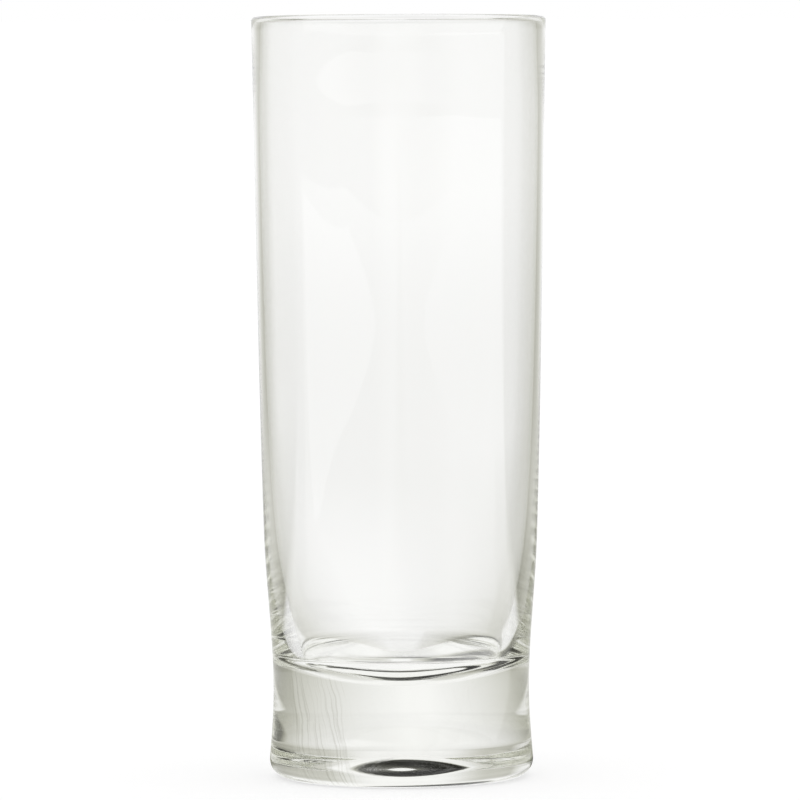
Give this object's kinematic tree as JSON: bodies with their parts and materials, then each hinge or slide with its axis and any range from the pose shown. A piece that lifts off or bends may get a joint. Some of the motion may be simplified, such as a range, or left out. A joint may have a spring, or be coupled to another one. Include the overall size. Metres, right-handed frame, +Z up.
{
  "type": "water glass",
  "caption": "Tall clear water glass with a thick heavy base, a slight waist above a rounded foot and a wall that opens gently to a fire-polished rim.",
  "frame": {"origin": "centre of the flat ring on the underside that the glass stands on", "axes": "+Z up along the glass's axis, out of its mouth; -Y towards the viewer of the picture"},
  "size_m": [0.058, 0.058, 0.15],
  "materials": {
    "clear_glass": "clear soda-lime glass, fire polished, with a faint grey-green cast in the thick base"
  },
  "bodies": {
    "root": {"tumbler": "clear_glass"}
  },
  "joints": []
}
